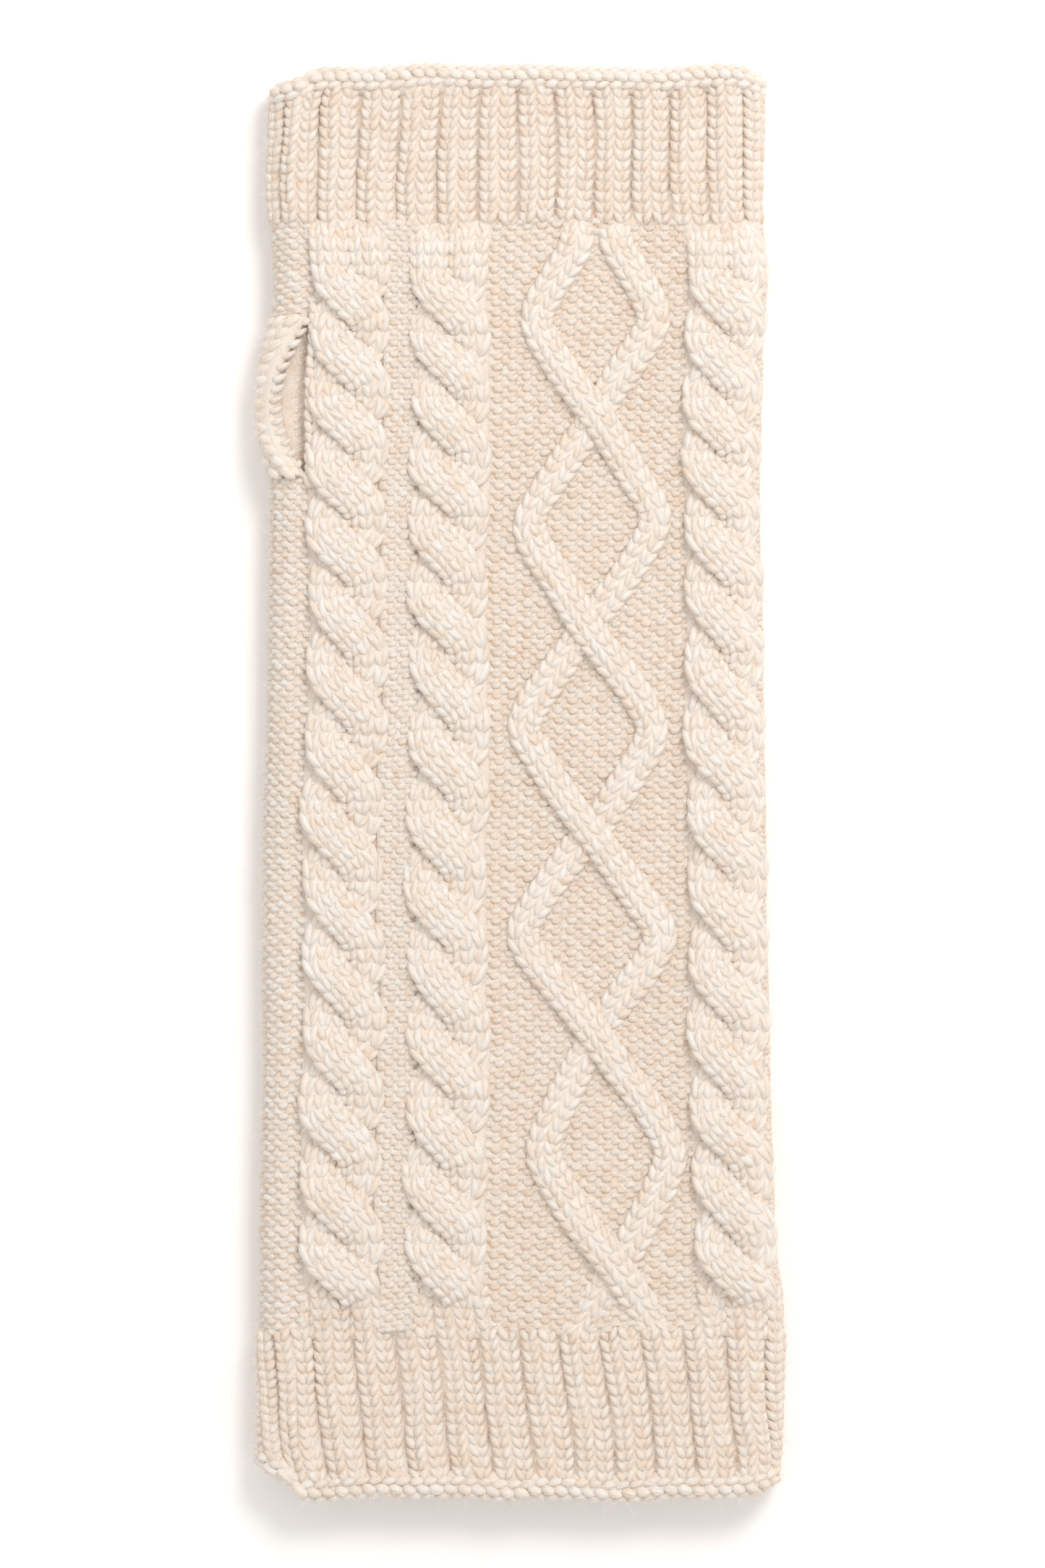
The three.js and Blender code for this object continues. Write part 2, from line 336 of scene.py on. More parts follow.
def knit_stitches(across, along, wide=COLUMN, tall=COURSE):
    """Two legs for each stitch, leaning apart as they go up: offsets across, along and outwards."""
    across, along = (np.ravel(a)[:, None] for a in np.broadcast_arrays(across, along))
    legs = []
    for leg in (-1, 1):
        legs.append((
            across + leg * (LEG_AWAY + LEG_LEAN * T) * wide,
            along + (0.12 + LEG_REACH * T) * tall,
            (0.55 * (1 - T * T) - 0.22 * T) * YARN + 0 * across,
        ))
    return [np.concatenate(parts) for parts in zip(*legs)]


def purl_stitches(across, along, wide=COLUMN, tall=COURSE):
    """Two bumps for each stitch: a head arching up and, half a stitch over and half a row down, a foot."""
    across, along = (np.ravel(a)[:, None] for a in np.broadcast_arrays(across, along))
    bumps = []
    for part in (-1, 1):
        over = 0.0 if part > 0 else 0.5 * wide
        arch = BUMP_ARCH * (1 - np.abs(T) ** 1.5) + BUMP_START
        bumps.append((
            across + over + BUMP_REACH * T * wide,
            along + (part * arch + 0.08 * T) * tall,
            (1.6 * (1 - T * T) - 1.05) * YARN + 0 * across,
        ))
    return [np.concatenate(parts) for parts in zip(*bumps)]


def grid(columns, rows):
    """Every column with every row, as two flat arrays."""
    across, along = np.meshgrid(columns, rows)
    return across.ravel(), along.ravel()


class Strand:
    """A cord of knitting over the ground, with a middle line in s, y and height, and a rounded top."""

    def __init__(self, s, y, height, half_width, crown):
        self.line = np.stack([s, y, height], -1)
        steps = np.linalg.norm(np.diff(self.line[:, :2], axis=0), axis=1)
        self.distance = np.concatenate([[0], np.cumsum(steps)])
        self.length = self.distance[-1]
        self.half_width = half_width
        self.crown = crown

    def middle(self, along):
        """s, y and height of the middle line at distances along it."""
        return [np.interp(along, self.distance, self.line[:, k]) for k in range(3)]

    def place(self, across, along, rise):
        """Where a stitch's points go on the tube, from offsets across the strand and distances along it."""
        s, y, height = self.middle(along)
        ahead = self.middle(np.minimum(along + 0.5 * MM, self.length))
        before = self.middle(np.maximum(along - 0.5 * MM, 0))
        step_s = ahead[0] - before[0]
        step_y = ahead[1] - before[1]
        size = np.maximum(np.hypot(step_s, step_y), 1e-9)
        over = np.clip(np.abs(across) / self.half_width, 0, 1.15)
        return (
            s + across * step_y / size,
            y - across * step_s / size,
            height + rise + self.crown * (1 - over**2),
        )

    def fill(self, grains, thick):
        """The matted body of the strand under its stitches."""
        along = np.arange(0.3 * MM, self.length - 0.3 * MM, 0.7 * MM)[:, None]
        across = np.linspace(-1.02, 1.02, 11)[None, :] * self.half_width
        across, along = np.broadcast_arrays(across, along)
        s, y, height = self.place(across, along, 0.7 * MM)
        edge = 0.5 * MM * (np.abs(across) / self.half_width) ** 6
        grains.fill(s, y, height - edge, height - thick)

    def knit(self, grains, columns, tall=COURSE, yarn=YARN, spread=1.0):
        """Fills the strand with that many columns of knit stitches."""
        wide = 2 * self.half_width / columns
        rows = np.arange(0.6 * tall, self.length - 0.6 * tall, tall)
        middles = (np.arange(columns) - (columns - 1) / 2) * wide
        across, along = grid(middles, rows)
        grains.add(*self.place(*knit_stitches(across, along, wide * spread, tall)), yarn)


# ---------------------------------------------------------------- materials
def colour_node(tree, factor_socket, stops):
    """A ramp through the stops, each a place from 0 to 1 and a colour."""
    ramp = tree.nodes.new("ShaderNodeValToRGB")
    ramp.color_ramp.elements[0].position = stops[0][0]
    ramp.color_ramp.elements[0].color = (*stops[0][1], 1)
    ramp.color_ramp.elements[1].position = stops[-1][0]
    ramp.color_ramp.elements[1].color = (*stops[-1][1], 1)
    for place, colour in stops[1:-1]:
        ramp.color_ramp.elements.new(place).color = (*colour, 1)
    tree.links.new(factor_socket, ramp.inputs["Fac"])
    return ramp.outputs["Color"]


def noise(tree, vector, scale, detail):
    """Noise from 0 to 1. scale is how fine it is, and detail how many finer layers it has."""
    node = tree.nodes.new("ShaderNodeTexNoise")
    node.inputs["Scale"].default_value = scale
    node.inputs["Detail"].default_value = detail
    node.inputs["Roughness"].default_value = 0.65
    tree.links.new(vector, node.inputs["Vector"])
    return node.outputs["Fac"]


def add_up(tree, terms, start):
    """start, and each socket times its factor."""
    total = None
    for socket, factor in terms:
        node = tree.nodes.new("ShaderNodeMath")
        node.operation = "MULTIPLY_ADD"
        tree.links.new(socket, node.inputs[0])
        node.inputs[1].default_value = factor
        if total is None:
            node.inputs[2].default_value = start
        else:
            tree.links.new(total, node.inputs[2])
        total = node.outputs[0]
    return total


# Light, dark and fleck of each wool. The glove is knitted from one yarn: ground is a darker copy of it,
# painted shade for the sunken purl, the palm and the ribs, and cable a lighter copy, painted light for the
# raised cables, the edges, the gutter and the left side
FLEECE = {
    "ground": ((0.980, 0.900, 0.815), (0.955, 0.830, 0.715), (0.90, 0.715, 0.555)),
    "cable": ((0.985, 0.925, 0.860), (0.970, 0.865, 0.765), (0.93, 0.765, 0.615)),
    "fuzz": ((0.990, 0.940, 0.880), (0.980, 0.910, 0.840), (0.95, 0.84, 0.74)),
}


HEATHER_SCALE = 420
SPECK_SCALE = 2600
STREAK_SCALE = 3.2  # in the fibres' own measure, which runs along each grain
BUMP_DEPTH = 0.35 * MM


def wool(name, light, dark, fleck):
    """Heathered wool: each stitch a little lighter or darker, fine flecks, and fibres in the bump."""
    material = bpy.data.materials.new(name)
    material.use_nodes = True
    tree = material.node_tree
    shader = tree.nodes["Principled BSDF"]
    shader.inputs["Roughness"].default_value = 0.92
    shader.inputs["Specular IOR Level"].default_value = 0.08
    shader.inputs["Sheen Weight"].default_value = 0.08
    shader.inputs["Sheen Roughness"].default_value = 0.45
    shader.inputs["Sheen Tint"].default_value = (1.0, 0.92, 0.84, 1)
    place = tree.nodes.new("ShaderNodeTexCoord").outputs["Object"]
    tint = tree.nodes.new("ShaderNodeAttribute")
    tint.attribute_name = "tint"
    lie = tree.nodes.new("ShaderNodeAttribute")
    lie.attribute_name = "fibre"
    heather = noise(tree, place, HEATHER_SCALE, 5)
    streaks = noise(tree, lie.outputs["Vector"], STREAK_SCALE, 4)
    specks = noise(tree, place, SPECK_SCALE, 3)
    shade = add_up(tree, [(tint.outputs["Fac"], 0.30), (heather, 1.0), (streaks, 0.75)], -0.44)
    stops = [(0.26, fleck), (0.50, dark), (0.80, light)]
    tree.links.new(colour_node(tree, shade, stops), shader.inputs["Base Color"])
    bump = tree.nodes.new("ShaderNodeBump")
    bump.inputs["Strength"].default_value = 0.9
    bump.inputs["Distance"].default_value = BUMP_DEPTH
    tree.links.new(add_up(tree, [(streaks, 1.0), (specks, 0.45)], 0.0), bump.inputs["Height"])
    tree.links.new(bump.outputs["Normal"], shader.inputs["Normal"])
    return material


# ---------------------------------------------------------------- camera, light, floor
PICTURE_PLANE = 0.010  # height above the floor of the plane where the view is measured
PICTURE_HEIGHT = 0.3284  # how much of that plane the view is tall
CAMERA_DISTANCE = 1.9


def set_camera():
    """Straight above the glove, far enough away that its sides hardly show."""
    camera = bpy.data.cameras.new("camera")
    camera.sensor_fit = "VERTICAL"
    camera.angle = 2 * math.atan(PICTURE_HEIGHT / 2 / CAMERA_DISTANCE)
    camera.clip_end = 20
    obj = bpy.data.objects.new("camera", camera)
    obj.location = (0.4 * MM, -0.2 * MM, PICTURE_PLANE + CAMERA_DISTANCE)
    bpy.context.scene.collection.objects.link(obj)
    bpy.context.scene.camera = obj


def area_light(name, place, size, power, colour):
    """A round lamp that faces the glove."""
    light = bpy.data.lights.new(name, "AREA")
    light.shape = "DISK"
    light.size = size
    light.energy = power
    light.color = colour
    obj = bpy.data.objects.new(name, light)
    obj.location = place
    obj.rotation_euler = (-Vector(place)).to_track_quat("-Z", "Y").to_euler()
    bpy.context.scene.collection.objects.link(obj)


def set_light():
    """Even light from all round, and one soft lamp beyond the upper right corner."""
    scene = bpy.context.scene
    scene.view_settings.view_transform = "Standard"
    scene.view_settings.look = "None"
    world = bpy.data.worlds.new("studio")
    scene.world = world
    world.use_nodes = True
    world.node_tree.nodes["Background"].inputs["Color"].default_value = (1.0, 0.995, 0.985, 1)
    world.node_tree.nodes["Background"].inputs["Strength"].default_value = 0.78
    area_light("key", place=(0.5, 0.8, 1.2), size=0.6, power=10.0, colour=(1.0, 0.985, 0.97))


def set_floor():
    """A plain pale floor, a hair below the glove."""
    size = 3.0
    corners = np.array([(-size, -size, 0), (size, -size, 0), (size, size, 0), (-size, size, 0)], float)
    below = np.array([0, 0, 0.2 * MM])
    floor = mesh_object("floor", corners - below, np.array([[0, 1, 2, 3]]), smooth=False)
    material = bpy.data.materials.new("floor")
    material.use_nodes = True
    shader = material.node_tree.nodes["Principled BSDF"]
    shader.inputs["Base Color"].default_value = (0.99, 0.965, 0.95, 1)
    shader.inputs["Roughness"].default_value = 0.8
    shader.inputs["Specular IOR Level"].default_value = 0.1
    shader.inputs["Emission Color"].default_value = (1, 1, 1, 1)
    shader.inputs["Emission Strength"].default_value = 0.06
    floor.data.materials.append(material)


# ---------------------------------------------------------------- zones
def rows_between(low, high):
    """Middles of the courses from low to high."""
    count = round((high - low) / COURSE)
    return low + (np.arange(count) + 0.5) * (high - low) / count


def columns_between(low, high, width=COLUMN):
    """Middles of the columns of stitches from low to high."""
    count = max(1, round((high - low) / width))
    return low + (np.arange(count) + 0.5) * (high - low) / count


ROPE_PLACES = {"rope_left": -35.9 * MM, "rope_centre": -14.9 * MM, "rope_right": 43.8 * MM}
ROPE_HALF = 8.2 * MM  # half width of a rope
ROPE_STRAND = 4.25 * MM  # half width of one of its two strands
ROPE_SWING = 4.05 * MM  # how far a strand goes to each side
ROPE_LIFT = 1.7 * MM  # how far the strand on top rises where the two cross
ROPE_SINK = 0.9 * MM  # how far the other one sinks there
FIRST_TURN = 13 * MM  # length of the twist above the first turn
LAST_TURN = 14 * MM  # and below the last one
CROWN = 1.1 * MM  # how much higher the middle of a strand is than its sides
# y of each row where the strands change places, in millimetres
TURNS = (
    101.1, 87.9, 74.9, 61.7, 48.1, 33.4, 18.3, 3.1,
    -12.5, -27.7, -43.3, -58.7, -73.9, -89.0, -102.8,
)

DIAMOND_STRAND = 3.4 * MM  # half width of a strand
DIAMOND_LIFT = 1.0 * MM  # how far the strand on top rises at a crossing
DIAMOND_SINK = 0.7 * MM  # how far the other one sinks there
DIAMOND_BASE = -0.35 * MM  # height of both between the crossings
SHARP = 0.97  # 1 makes the sides of the diamonds straight
# y and s of each crossing, and the half width of the diamond below it, in millimetres
CROSSINGS = (
    (117.5, 16.2, 12.6),
    (76.9, 16.2, 13.5),
    (32.7, 14.7, 14.1),
    (-10.1, 14.5, 14.3),
    (-52.8, 15.8, 13.2),
    (-102.0, 19.6, 13.5),
    (-147.0, 19.0, 13.5),
)


def purl_zone(name, s_low, s_high, y_low, y_high, height=GROUND, wide=COLUMN, carry=None):
    """Purl stitches over a stretch of the tube. carry moves them, and a raised zone is filled behind them."""
    grains = Grains()
    across, along = grid(columns_between(s_low, s_high, wide), rows_between(y_low, y_high))
    real_width = (s_high - s_low) / max(1, round((s_high - s_low) / wide))
    s, y, rise = purl_stitches(across, along, real_width)
    rise = rise + height
    if carry:
        s, y, rise = carry(s, y, rise)
    grains.add(s, y, rise, 0.92 * YARN)
    if height > GROUND:
        places = np.meshgrid(np.linspace(s_low, s_high, 9), np.linspace(y_low, y_high, 160))
        grains.fill(*places, height + 0.45 * MM, height - 2.0 * MM)
    return grains.build(name, taper=0.5)


def plain_palm(name, y_low, y_high):
    """Plain knitting from side to side of the palm."""
    grains = Grains()
    across, along = grid(columns_between(SIDE_KNIT, AROUND - SIDE_KNIT), rows_between(y_low, y_high))
    s, y, rise = knit_stitches(across, along)
    grains.add(s, y, rise - 1.0 * MM, YARN)
    return grains.build(name, sides=5)


def end_drop(y, depth):
    """How far the cables sink into the ribbing at each end of the hand."""
    top = ease(y, FINGER_FOLD - 6 * MM, FINGER_FOLD + 0.5 * MM)
    bottom = ease(-y, -FOREARM_FOLD - 12.5 * MM, -FOREARM_FOLD - 3 * MM)
    return depth * (top + bottom)


def on_rope(s):
    """1 where a rope meets the ribs, 0 between the ropes."""
    s = (s + AROUND / 2) % AROUND - AROUND / 2
    return sum(1 - ease(np.abs(s - place), 7.4 * MM, 9.4 * MM) for place in ROPE_PLACES.values())


def rope(name, middle):
    """A two-strand twist of three knit columns a strand. The strand that goes down to the right is on top."""
    grains = Grains()
    turns = np.array(TURNS) * MM
    count = len(turns)
    y = np.linspace(FOREARM_FOLD - 1.5 * MM, FINGER_FOLD + 0.5 * MM, 1600)
    place = np.interp(-y, -turns, np.arange(count)) + (turns[-1] - y) / LAST_TURN * (y < turns[-1])
    place = place - (y - turns[0]) / FIRST_TURN * (y > turns[0])
    number = np.clip(np.round(place), 0, count - 1)
    within = np.clip(place - number + 0.5, 0, 1)
    for strand in (0, 1):
        rightwards = (number + strand) % 2 == 0
        going = ease(within, 0.08, 0.92)
        swing = np.where(rightwards, going * 2 - 1, 1 - going * 2) * ROPE_SWING
        lift = np.sin(math.pi * within) * np.where(rightwards, ROPE_LIFT, -ROPE_SINK)
        line = Strand(middle + swing, y, 0.2 * MM + lift - end_drop(y, 2.5 * MM), ROPE_STRAND, CROWN)
        line.knit(grains, 3, tall=LONG_COURSE, yarn=1.08 * YARN, spread=1.02)
        line.fill(grains, 2.6 * MM)
    columns = np.linspace(middle - ROPE_HALF, middle + ROPE_HALF, 12)
    under = np.meshgrid(columns, np.linspace(y[0], y[-1], 160))
    grains.fill(*under, -0.1 * MM - end_drop(under[1], 1.5 * MM), -2.4 * MM)
    return grains.build(name)


def diamond_strands():
    """Two strands of two knit columns that cross and part; the one that goes down to the right is on top."""
    places, middles, halves = (np.array(row) * MM for row in zip(*CROSSINGS))
    y = np.linspace(FOREARM_FOLD - 1.0 * MM, FINGER_FOLD, 1800)
    turn = np.interp(-y, -places, np.arange(len(places)))
    middle = np.interp(y, places[::-1], middles[::-1])
    half = halves[np.floor(turn).astype(int)]
    made = []
    for side, name in ((-1, "diamond_left"), (1, "diamond_right")):
        grains = Grains()
        swing = np.arcsin(SHARP * np.sin(math.pi * turn)) / math.asin(SHARP)
        start = 1 - ease(turn, 0.0, 0.2)
        s = middle + side * (half * swing * (1 - start) + start * (DIAMOND_STRAND + half * swing * 0.6))
        over = side * np.cos(math.pi * turn)
        near = np.abs(np.cos(math.pi * turn)) ** 8 * (turn > 0.5)
        lift = DIAMOND_BASE + np.where(over > 0, DIAMOND_LIFT * near, -DIAMOND_SINK * near)
        line = Strand(s, y, lift - end_drop(y, 1.5 * MM), DIAMOND_STRAND, CROWN)
        line.knit(grains, 2, tall=LONG_COURSE, yarn=1.05 * YARN)
        line.fill(grains, 2.2 * MM)
        made.append(grains.build(name))
    return made


RIB_COUNT = 27
RIB_PITCH = AROUND / RIB_COUNT
RIB_FIRST = SEAM + 2.2 * MM  # s of the groove before the first rib
RIB_TOP = -0.45 * MM  # height of the yarn on the middle of a rib
RIB_DEPTH = 1.9 * MM
FOREARM_SLANT = 0.12  # how far the forearm's ribs lean for each millimetre along the glove
RUN_ON = 9.5 * MM  # how far the ribs run on into the ends of the ropes
RIB_RISE = 0.5 * MM  # how much the ribs rise to meet a rope
TUCK = 2.5 * MM  # where there is no rope, the ribs sink under the hand's stitches in this length


def rib_shape(s):
    """Height of the middle of the yarn across a rib: round, with a narrow groove on each side."""
    out_of_rib = (s - RIB_FIRST) / RIB_PITCH % 1 * 2 - 1
    return RIB_TOP - RIB_DEPTH * np.abs(out_of_rib) ** 3


def ribbing(name, y_low, y_high, slant=0.0):
    """A cuff all round: ribs of two knit columns that roll down into the grooves."""
    grains = Grains()
    middles = RIB_FIRST + (np.arange(RIB_COUNT) + 0.5) * RIB_PITCH
    rows = rows_between(y_low, y_high)
    wide = 0.47 * RIB_PITCH
    for side in (-1, 1):
        across, along = grid(middles + side * 0.5 * wide, rows)
        s, y, rise = knit_stitches(across, along, wide, COURSE)
        into_hand = FINGER_FOLD - y if y_low > 0 else y - FOREARM_FOLD
        place = s - slant * into_hand
        rope_here = on_rope(place)
        sink = 2.2 * MM * ease(into_hand, 0, TUCK) * (1 - rope_here)
        sink = sink - RIB_RISE * ease(into_hand, 0, 0.5 * RUN_ON) * rope_here
        grains.add(place, y, rise + rib_shape(s) - sink, 1.04 * YARN)
    return grains.build(name)


# The rows of the chain along an end: how far in and how high they lie, in millimetres, and how thick they are
EDGE_ROWS = ((0.9, -2.6, 1.0), (0.7, -0.9, 1.15), (1.9, 0.05, 1.3), (3.6, -0.1, 1.15))


def edge_stitches(name, y, towards):
    """The puffy chain along an end of the tube; towards is +1 at the finger end."""
    grains = Grains()
    step = 2.8 * MM
    count = round(AROUND / step)
    step = AROUND / count
    middles = (np.arange(count) * step)[:, None]
    for row, (inwards, rise, yarn) in enumerate(EDGE_ROWS):
        lean = 0.5 * (1 if row % 2 else -1) * T * MM
        s = middles + 0.5 * row * step + 0.58 * T * step
        along = y - towards * (inwards * MM + 0.1 * MM) + lean + 0 * s
        grains.add(s, along, rise * MM + 0.7 * (0.5 - T * T) * YARN + 0 * s, yarn * YARN)
    s = np.linspace(-AROUND / 2 - 0.8 * MM, AROUND / 2 + 0.8 * MM, 260)[None, :]
    rows = (y - towards * np.array([0.5, 1.2, 2.4, 3.8, 5.6]) * MM)[:, None]
    top = np.array([-1.7, -0.2, 0.4, 0.1, -0.8])[:, None] * MM
    if towards > 0:
        rows, top = rows[::-1], top[::-1]
    grains.fill(s, rows, top, -3.0 * MM)
    return grains.build(name)


# The rows of stitches on the palm's lip: how far from its edge and how high, in millimetres, and how thick
LIP_ROWS = ((2.9, 0.3, 1.30), (5.9, 0.0, 1.2), (8.9, -0.4, 1.1))
# The roll of the lip's matted body: how far from its edge, and how high, in millimetres
LIP_ROLL = ((0, -0.5), (1.0, 0.5), (2.6, 0.95), (4.2, 0.5), (5.9, 0.7), (7.4, 0.2), (8.9, 0.3), (10, -0.6))


def thumb_edging(name):
    """Plump slanted stitches along the palm's lip of the thumb opening, and a finer column on the front."""
    grains = Grains()
    count = 14
    share = (np.arange(count)[:, None] + 0.5) / count
    y = THUMB_LOW + share * (THUMB_HIGH - THUMB_LOW)
    open_here = slit_width(y)
    tilt = np.interp(share, [0, 0.3, 0.55, 1], [-0.75, -0.45, 0.35, 0.7])
    reach = 1.9 * MM
    for away, rise, yarn in LIP_ROWS:
        s = SEAM - open_here - away * MM + reach * T * np.cos(tilt)
        along = y + reach * T * np.sin(tilt)
        height = LIP * open_here + rise * MM + (0.45 - 1.3 * T * T) * YARN
        grains.add(s, along, height, yarn * YARN)
    y = np.linspace(THUMB_LOW + 0.5 * MM, THUMB_HIGH - 0.5 * MM, 50)[:, None]
    across = np.linspace(0, 10, 21)[None, :]
    roll = np.interp(across, *zip(*LIP_ROLL))
    lip = LIP * slit_width(y) + roll * MM
    grains.fill(SEAM - slit_width(y) - across * MM, y, lip, lip - 2.2 * MM)
    rows = rows_between(THUMB_LOW - 2 * MM, THUMB_HIGH + 2 * MM)
    s, along, rise = knit_stitches(SEAM + 0.9 * MM, rows, 2.6 * MM)
    grains.add(s, along, rise - 0.3 * MM, YARN)
    return grains.build(name, sides=8, taper=0.4)


def seam_yarn(name, y_low, y_high):
    """Small half stitches drawn down into the seam."""
    grains = Grains()
    rows = rows_between(y_low, y_high)
    s, along, rise = knit_stitches(SEAM + 0.2 * MM, rows, 2.3 * MM)
    grains.add(s, along, rise - 1.7 * MM, 0.8 * YARN)
    return grains.build(name)


def palm_inside(name):
    """The wrong side of the palm, which wells up behind the thumb opening."""
    grains = Grains()
    y = np.linspace(THUMB_LOW + 1.0 * MM, THUMB_HIGH - 1.0 * MM, 60)
    across = np.linspace(0, 1, 24)
    open_here = slit_width(y)[:, None]
    start = SEAM + 2.0 * MM
    s = start + (SEAM - open_here - 1.5 * MM - start) * across
    deep = -2.6 + 0.6 * across**2
    rise = LIP * open_here * across**2 + deep * MM
    grains.fill(s, y[:, None], rise, rise - 1.0 * MM)
    y = y[::3, None]
    place = SEAM - slit_width(y) * 0.45
    rise = LIP * slit_width(y) * 0.2 - 2.9 * MM + 0 * T
    grains.add(place + 1.6 * T * MM, y + 0.5 * T * MM, rise, 0.9 * YARN)
    return grains.build(name)


FIBRE_STEPS = 4
FIBRE_HALF = 0.032 * MM  # half width of a loose fibre at its root
LONGEST = 1.7  # length of the longest fibres, as a share of the usual length
FUZZ_TOP = FABRIC_TOP + 8.5 * MM


def fuzz(name, sources, count, length, seed):
    """Fine loose fibres that stand out of the yarn: thin curved ribbons rooted on its outer side."""
    chance = np.random.default_rng(seed)
    points, normals = [], []
    for obj in sources:
        size = len(obj.data.vertices)
        place = np.empty(size * 3, np.float32)
        facing = np.empty(size * 3, np.float32)
        obj.data.vertices.foreach_get("co", place)
        obj.data.vertex_normals.foreach_get("vector", facing)
        points.append(place.reshape(-1, 3))
        normals.append(facing.reshape(-1, 3))
    points = np.concatenate(points).astype(float)
    normals = np.concatenate(normals).astype(float)
    outward = np.stack([0 * points[:, 0], 0 * points[:, 0], points[:, 2] - FOLD_RADIUS], -1)
    beyond = np.abs(points[:, 0]) - FLAT
    outward[:, 0] = np.sign(points[:, 0]) * np.maximum(beyond, 0)
    facing_out = np.einsum("ij,ij->i", unit(outward), normals)
    chosen = chance.choice(np.flatnonzero(facing_out > 0.35), count)
    root, normal = points[chosen], unit(normals[chosen])
    steps = FIBRE_STEPS
    sideways = unit(np.cross(normal, chance.normal(0, 1, (count, 3))))
    heading = unit(sideways + chance.uniform(0.15, 1.1, (count, 1)) * normal)
    curl = chance.normal(0, 1, (count, 3)) * 0.30
    reach = length * np.minimum(chance.lognormal(0, 0.45, (count, 1)), LONGEST) / steps
    line = [root - 0.1 * MM * normal]
    for _ in range(steps):
        curl = curl + chance.normal(0, 0.20, (count, 3))
        heading = unit(heading + 0.5 * curl - 0.16 * normal)
        line.append(line[-1] + heading * reach)
    line = np.stack(line, 1)
    line[..., 2] = np.clip(line[..., 2], 0.1 * MM, FUZZ_TOP)
    flat = unit(np.cross(heading, normal + 0.4 * chance.normal(0, 1, (count, 3))))[:, None]
    thinning = np.linspace(1.0, 0.35, steps + 1)[None, :, None]
    width = FIBRE_HALF * thinning * chance.uniform(0.7, 1.4, (count, 1, 1))
    vertices = np.stack([line - flat * width, line + flat * width], 2)
    index = np.arange(count * (steps + 1) * 2).reshape(count, steps + 1, 2)
    corners = [index[:, :-1, 0], index[:, :-1, 1], index[:, 1:, 1], index[:, 1:, 0]]
    quads = np.stack(corners, -1).reshape(-1, 4)
    tint = np.repeat(chance.uniform(0, 1, count), (steps + 1) * 2)
    return mesh_object(name, vertices.reshape(-1, 3), quads, {"tint": tint})


def fabric_height(s, y):
    """The outside of the fabric itself, under the stitches: level in the hand, ribbed in the cuffs."""
    slanted = s + np.where(y < 0, FOREARM_SLANT * (y - FOREARM_FOLD), 0)
    into_hand = np.where(y > 0, FINGER_FOLD - y, y - FOREARM_FOLD)
    rope_here = on_rope(s)
    ribs = rib_shape(slanted) + 0.6 * MM + RIB_RISE * ease(into_hand, 0, 0.5 * RUN_ON) * rope_here
    cuff = ease(RUN_ON * rope_here - into_hand, -0.5 * MM, 0.8 * MM)
    return FABRIC * (1 - cuff) + ribs * cuff


def ground_fabric(name, y_low, y_high):
    """The body of the fabric behind the stitches: a sheet folded into a tube whose edges meet at the seam."""
    y = np.linspace(y_low, y_high, 96)[:, None]
    s = np.linspace(SEAM - AROUND, SEAM, 12 * RIB_COUNT + 1)[None, :]
    s, y = np.broadcast_arrays(s, y)
    outside, inside = fabric_height(s, y), 0 * y + WRONG_SIDE
    shift = uneven_ends(s, y)
    top = on_tube(*add_to_y(beside_slit(s, y, outside), shift))[0]
    bottom = on_tube(*add_to_y(beside_slit(s, y, inside), shift))[0]
    vertices, quads = slab(top, bottom)
    # the sheet gets the matted fibre's lower tint: painted shade behind the stitches
    return mesh_object(name, settled(vertices), quads, {
        "tint": np.full(len(vertices), MATTED_SHADE_TINT),
        "fibre": vertices * FIBRES_PER_METRE,
    })


# ---------------------------------------------------------------- all of it
pieces = {}


def keep(obj, material, cad_nodes=(), hinge=None):
    """Gives a piece its material and hides the CAD nodes it replaces. Pieces of the hand are tied to the
    hand_tube body; those of the finger and forearm ends only have their transform baked in.
    """
    obj.data.materials.append(material)
    if cad_nodes:
        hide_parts(*cad_nodes)
    if hinge == "finger":
        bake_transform(obj)
    elif hinge == "forearm":
        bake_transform(obj)
    else:
        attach(obj, "hand_tube")
    pieces[obj.name] = obj


def lay_fabric(ground):
    """The two sheets behind the stitches, one for each half of the glove."""
    finger = ground_fabric("fabric_finger_half", 0, FINGER_END - 2.5 * MM)
    forearm = ground_fabric("fabric_forearm_half", FOREARM_END + 2.5 * MM, 0)
    keep(finger, ground, (), "finger")
    keep(forearm, ground, (), "forearm")


def knit_hand(ground, cable):
    """The purl ground, the plain palm, the ropes and the diamonds."""
    middle = (FOREARM_FOLD + FINGER_FOLD) / 2
    for half, low, high in (("upper", middle, FINGER_FOLD), ("lower", FOREARM_FOLD, middle)):
        front = purl_zone(f"front_purl_{half}", -8 * MM, 37.0 * MM, low, high)
        keep(front, ground, ["front_panel"])
        # The gutter and the left side get the lighter copy of the yarn: painted light on a sunken strip and
        # on the side turned away from the lamp.
        gutter = purl_zone(f"left_gutter_{half}", -29.0 * MM, -21.8 * MM, low, high, 0.1 * MM, 2.6 * MM)
        keep(gutter, cable, ["front_panel"])
        left = purl_zone(f"left_side_{half}", -SIDE_KNIT, SEAM, low, high, carry=beside_slit)
        keep(left, cable, [f"left_fold_{half}"])
        right = purl_zone(f"right_side_{half}", 50.5 * MM, SIDE_KNIT, low, high)
        keep(right, ground, ["right_fold"])
        keep(plain_palm(f"palm_{half}", low, high), ground, ["palm_panel"])
    for name, place in ROPE_PLACES.items():
        keep(rope(name, place), cable, [name.replace("rope_", "rope_cable_")])
    for obj in diamond_strands():
        keep(obj, cable, [obj.name.replace("diamond_", "diamond_strand_")])


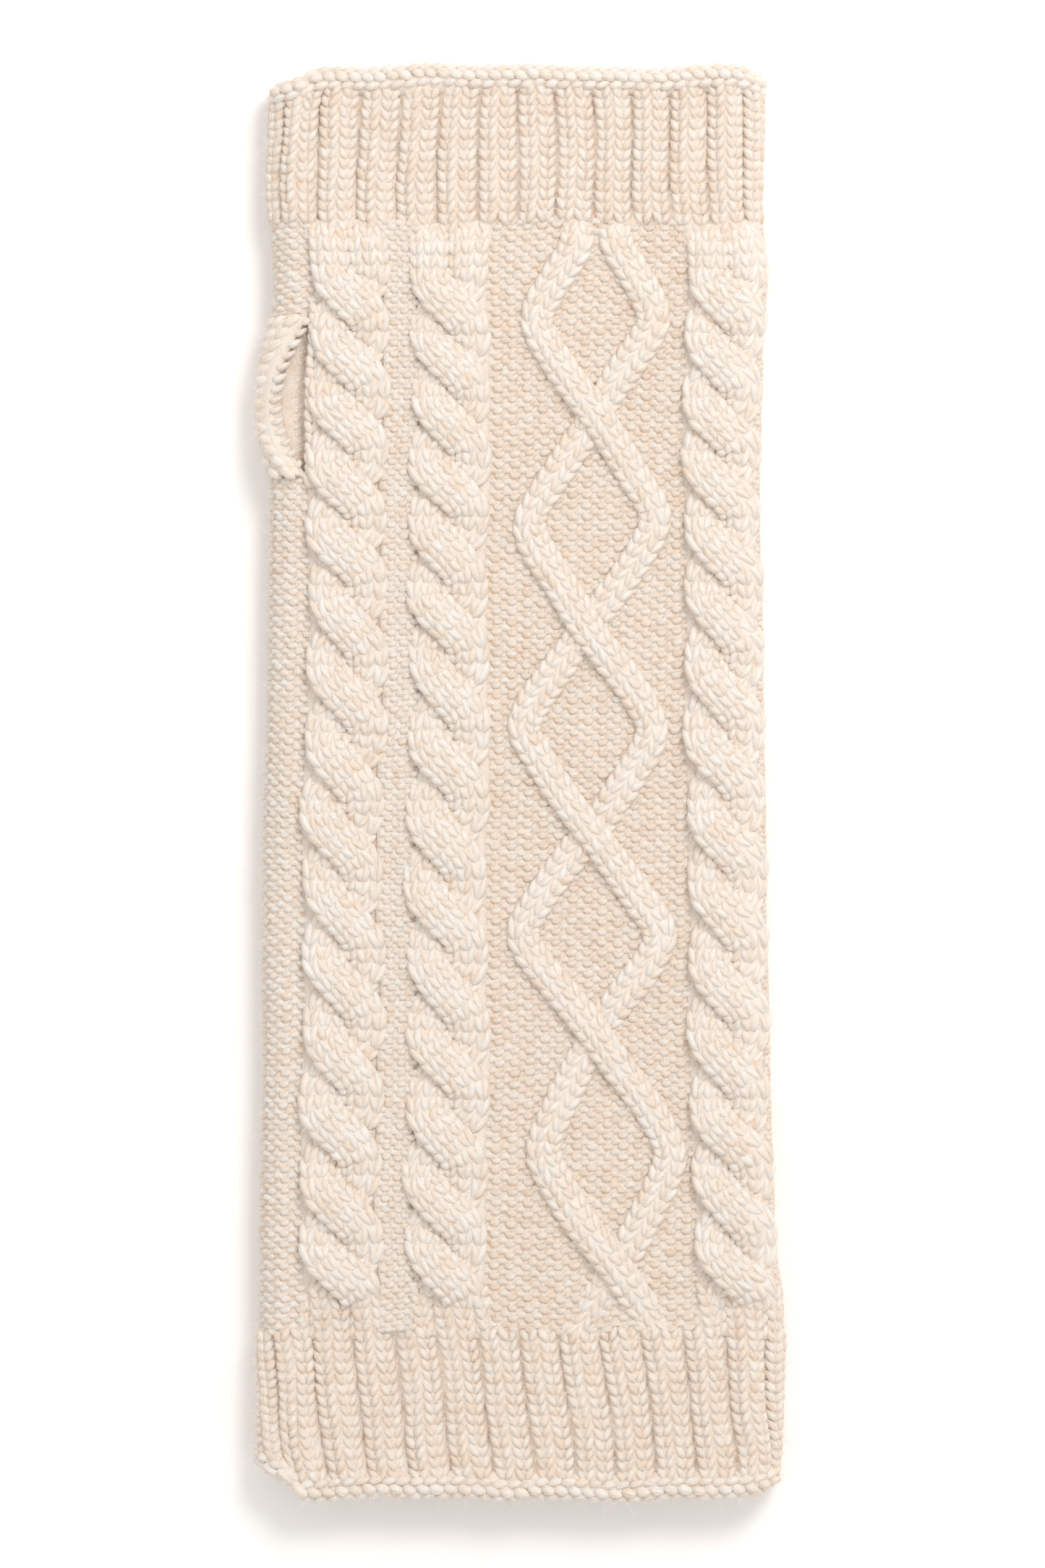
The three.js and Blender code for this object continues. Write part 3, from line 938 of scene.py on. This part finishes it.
def knit_cuffs(ground, cable):
    """The ribs and the edge of each end."""
    zones = ("front", "palm", "left_fold", "right_fold", "seam")
    finger = ribbing("finger_ribs", FINGER_FOLD - RUN_ON, FINGER_END - 4.4 * MM)
    keep(finger, ground, [f"finger_rib_{zone}" for zone in zones], "finger")
    forearm = ribbing("forearm_ribs", FOREARM_END + 4.0 * MM, FOREARM_FOLD + RUN_ON, FOREARM_SLANT)
    keep(forearm, ground, [f"forearm_rib_{zone}" for zone in zones], "forearm")
    bind_off = edge_stitches("bind_off_stitches", FINGER_END, 1)
    keep(bind_off, cable, ["bind_off_edge"], "finger")
    cast_on = edge_stitches("cast_on_stitches", FOREARM_END, -1)
    keep(cast_on, cable, ["cast_on_edge"], "forearm")


def finish_side(ground, cable):
    """The thumb opening and the seam above and below it."""
    keep(thumb_edging("thumb_edging"), cable, ["thumb_edge_palm", "thumb_edge_front"])
    keep(palm_inside("palm_inside"), ground)
    upper = seam_yarn("seam_stitches_upper", THUMB_HIGH, FINGER_FOLD)
    keep(upper, ground, ["side_seam_upper"])
    lower = seam_yarn("seam_stitches_lower", FOREARM_FOLD, THUMB_LOW)
    keep(lower, ground, ["side_seam_lower"])


def add_fuzz(loose):
    """Short fibres all over, and fewer long ones, rooted in the stitches of each body."""
    finger = [pieces["finger_ribs"], pieces["bind_off_stitches"]]
    forearm = [pieces["forearm_ribs"], pieces["cast_on_stitches"]]
    fabric = [pieces["fabric_finger_half"], pieces["fabric_forearm_half"]]
    hand = [obj for obj in pieces.values() if obj not in finger + forearm + fabric]
    for part in range(4):
        keep(fuzz(f"hand_fuzz_{part + 1}", hand, 24000, 1.9 * MM, 20 + part), loose)
    keep(fuzz("hand_fuzz_long", hand, 4500, 5.0 * MM, 12), loose)
    keep(fuzz("finger_fuzz", finger, 24000, 1.9 * MM, 13), loose, (), "finger")
    keep(fuzz("finger_fuzz_long", finger, 1200, 4.0 * MM, 15), loose, (), "finger")
    keep(fuzz("forearm_fuzz_long", forearm, 2400, 4.5 * MM, 16), loose, (), "forearm")
    keep(fuzz("forearm_fuzz", forearm, 24500, 2.1 * MM, 14), loose, (), "forearm")


def main():
    set_camera()
    set_light()
    set_floor()
    # The same yarn twice: a darker copy that paints shade and a lighter copy that paints light.
    ground = wool("shaded_wool", *FLEECE["ground"])
    cable = wool("lit_wool", *FLEECE["cable"])
    loose = wool("loose_fibres", *FLEECE["fuzz"])
    lay_fabric(ground)
    knit_hand(ground, cable)
    knit_cuffs(ground, cable)
    finish_side(ground, cable)
    add_fuzz(loose)


main()
